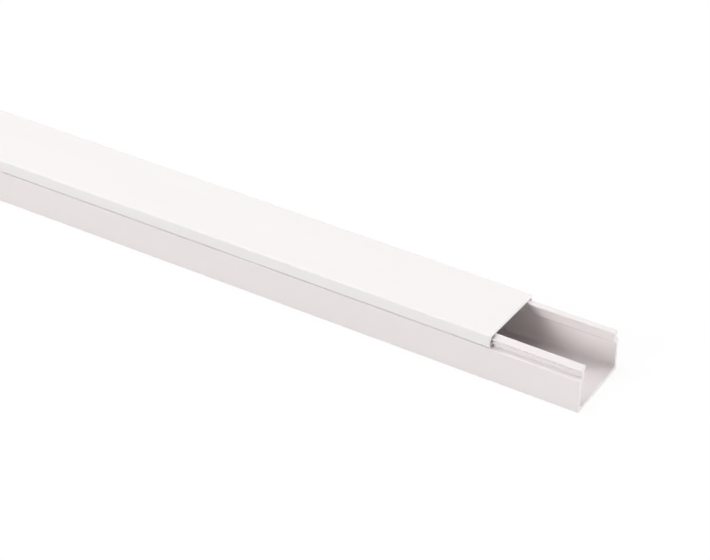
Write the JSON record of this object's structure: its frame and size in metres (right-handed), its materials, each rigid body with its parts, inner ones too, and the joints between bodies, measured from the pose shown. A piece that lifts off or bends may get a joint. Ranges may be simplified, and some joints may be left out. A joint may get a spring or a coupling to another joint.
{
  "type": "cable trunking",
  "caption": "Straight length of cable trunking: a U-shaped base with beaded, lipped walls and a hooked lid that slides along them.",
  "frame": {"origin": "middle of the base's length, on the centre line of its back", "axes": "+X along the length to the open end, +Y across the width, +Z from the back to the lid"},
  "size_m": [1.029, 0.025, 0.016],
  "materials": {
    "base_pvc": "satin, as extruded",
    "lid_pvc": "satin, as extruded"
  },
  "bodies": {
    "base": {"base": "base_pvc"},
    "lid": {"lid": "lid_pvc"}
  },
  "joints": [
    {"name": "lid_slide", "type": "slide", "parent": "base", "child": "lid", "axis": [1, 0, 0], "range_m": [-0.98, 0.029]}
  ]
}
